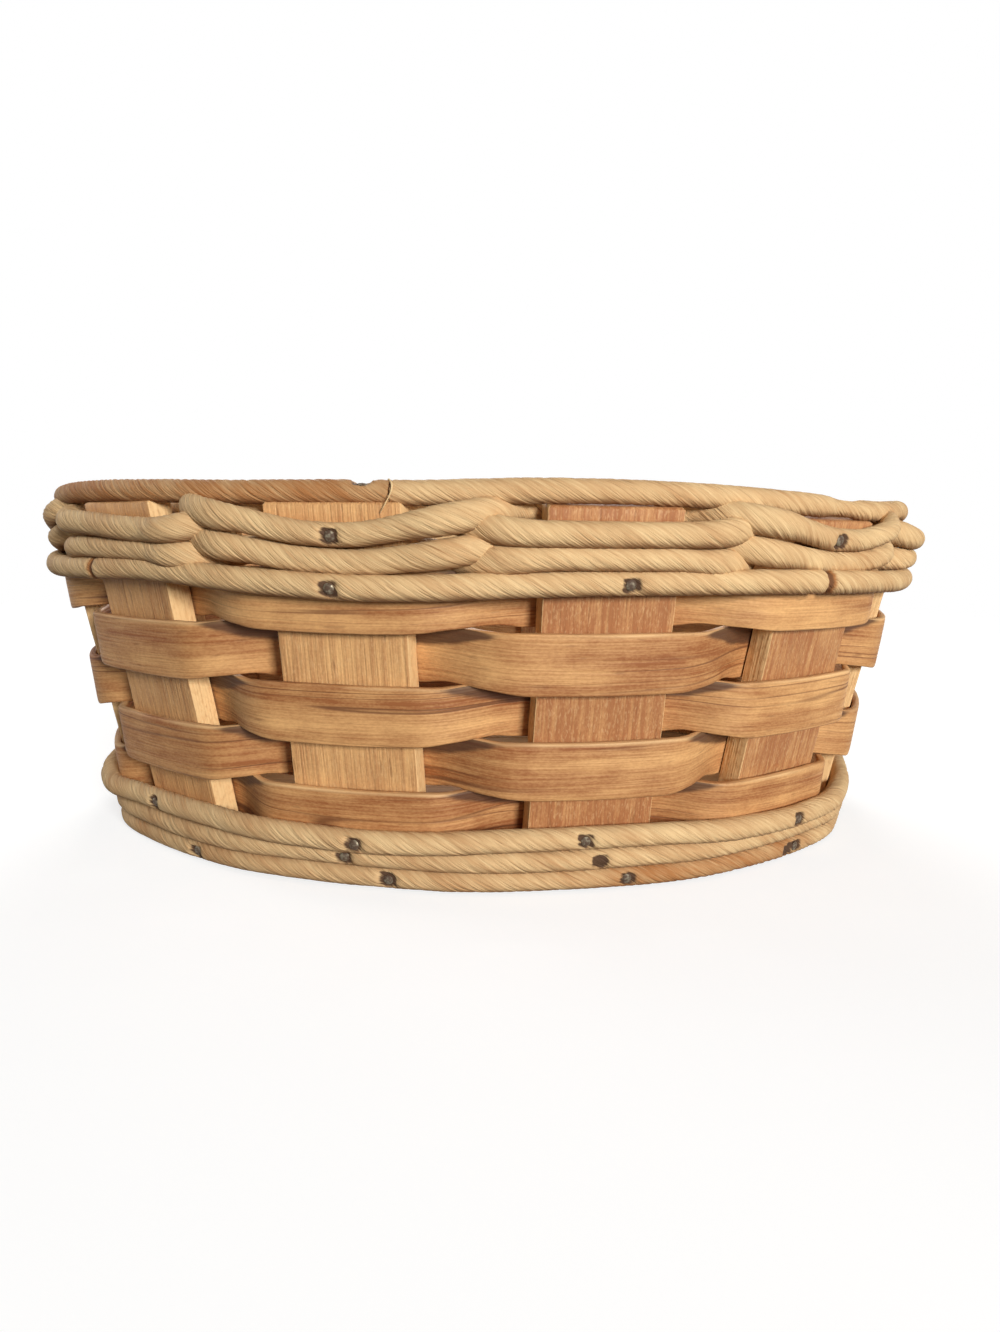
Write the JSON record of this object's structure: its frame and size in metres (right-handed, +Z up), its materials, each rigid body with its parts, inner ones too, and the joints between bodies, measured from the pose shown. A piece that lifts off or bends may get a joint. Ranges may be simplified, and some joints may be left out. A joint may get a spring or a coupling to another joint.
{
  "type": "casserole carrier basket",
  "caption": "Oval open basket of flat upright stakes and woven wood strips, with rope bands nailed round the foot and the rim, for carrying a casserole dish.",
  "frame": {"origin": "on the ground under the middle of the base", "axes": "+X along the basket's length, +Y towards its back, +Z up"},
  "size_m": [0.3294, 0.2638, 0.1221],
  "materials": {
    "stake_wood": "sawn, clear varnish, satin",
    "weaver_wood": "sliced splint with fine grain, satin",
    "base_wood": "planed board, satin",
    "rope": "twisted straw-coloured fibre rope",
    "nail_steel": "dark, tarnished"
  },
  "bodies": {
    "root": {"base_board": "base_wood", "stake_01": "stake_wood", "stake_02": "stake_wood", "stake_03": "stake_wood", "stake_04": "stake_wood", "stake_05": "stake_wood", "stake_06": "stake_wood", "stake_07": "stake_wood", "stake_08": "stake_wood", "stake_09": "stake_wood", "stake_10": "stake_wood", "stake_11": "stake_wood", "stake_12": "stake_wood", "weaver_1": "weaver_wood", "weaver_2": "weaver_wood", "weaver_3": "weaver_wood", "weaver_4": "weaver_wood", "weaver_5": "weaver_wood", "foot_rope_lower": "rope", "foot_rope_middle": "rope", "foot_rope_upper": "rope", "band_rope": "rope", "rim_rope": "rope", "woven_rope_1": "rope", "woven_rope_2": "rope", "woven_rope_3": "rope", "woven_rope_4": "rope", "foot_nail_01": "nail_steel", "foot_nail_02": "nail_steel", "foot_nail_03": "nail_steel", "foot_nail_04": "nail_steel", "foot_nail_05": "nail_steel", "foot_nail_06": "nail_steel", "foot_nail_07": "nail_steel", "foot_nail_08": "nail_steel", "foot_nail_09": "nail_steel", "foot_nail_10": "nail_steel", "foot_nail_11": "nail_steel", "foot_nail_12": "nail_steel", "hem_nail_01": "nail_steel", "hem_nail_02": "nail_steel", "hem_nail_03": "nail_steel", "hem_nail_04": "nail_steel", "hem_nail_05": "nail_steel", "hem_nail_06": "nail_steel", "band_nail_01": "nail_steel", "band_nail_02": "nail_steel", "band_nail_03": "nail_steel", "band_nail_04": "nail_steel", "band_nail_05": "nail_steel", "band_nail_06": "nail_steel", "band_nail_07": "nail_steel", "band_nail_08": "nail_steel", "band_nail_09": "nail_steel", "band_nail_10": "nail_steel", "band_nail_11": "nail_steel", "band_nail_12": "nail_steel", "rim_nail_01": "nail_steel", "rim_nail_02": "nail_steel", "rim_nail_03": "nail_steel"}
  },
  "joints": []
}
